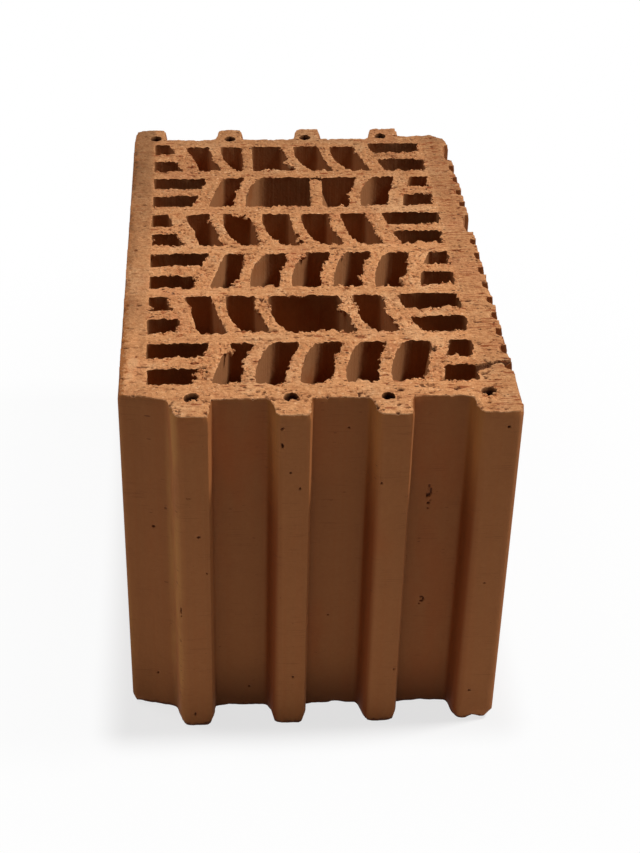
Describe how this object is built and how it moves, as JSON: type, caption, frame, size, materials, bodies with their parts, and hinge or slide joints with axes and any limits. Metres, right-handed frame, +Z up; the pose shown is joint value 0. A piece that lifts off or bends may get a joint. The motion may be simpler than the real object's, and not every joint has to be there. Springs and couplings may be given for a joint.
{
  "type": "perforated clay block",
  "caption": "Fired clay wall block with rows of curved upright perforations, two grip holes, tongues and grooves at both ends and plaster keys in one side.",
  "frame": {"origin": "middle of the bottom bed face, under the middle of the bounding box", "axes": "+Z up along the perforations, X across the wall with the keyed side at +X, Y along the course"},
  "size_m": [0.24, 0.392, 0.249],
  "materials": {
    "fired_clay": "rough wire-cut fired clay, orange tan on the cut beds and brown on the extruded sides"
  },
  "bodies": {
    "root": {"clay_block": "fired_clay"}
  },
  "joints": []
}
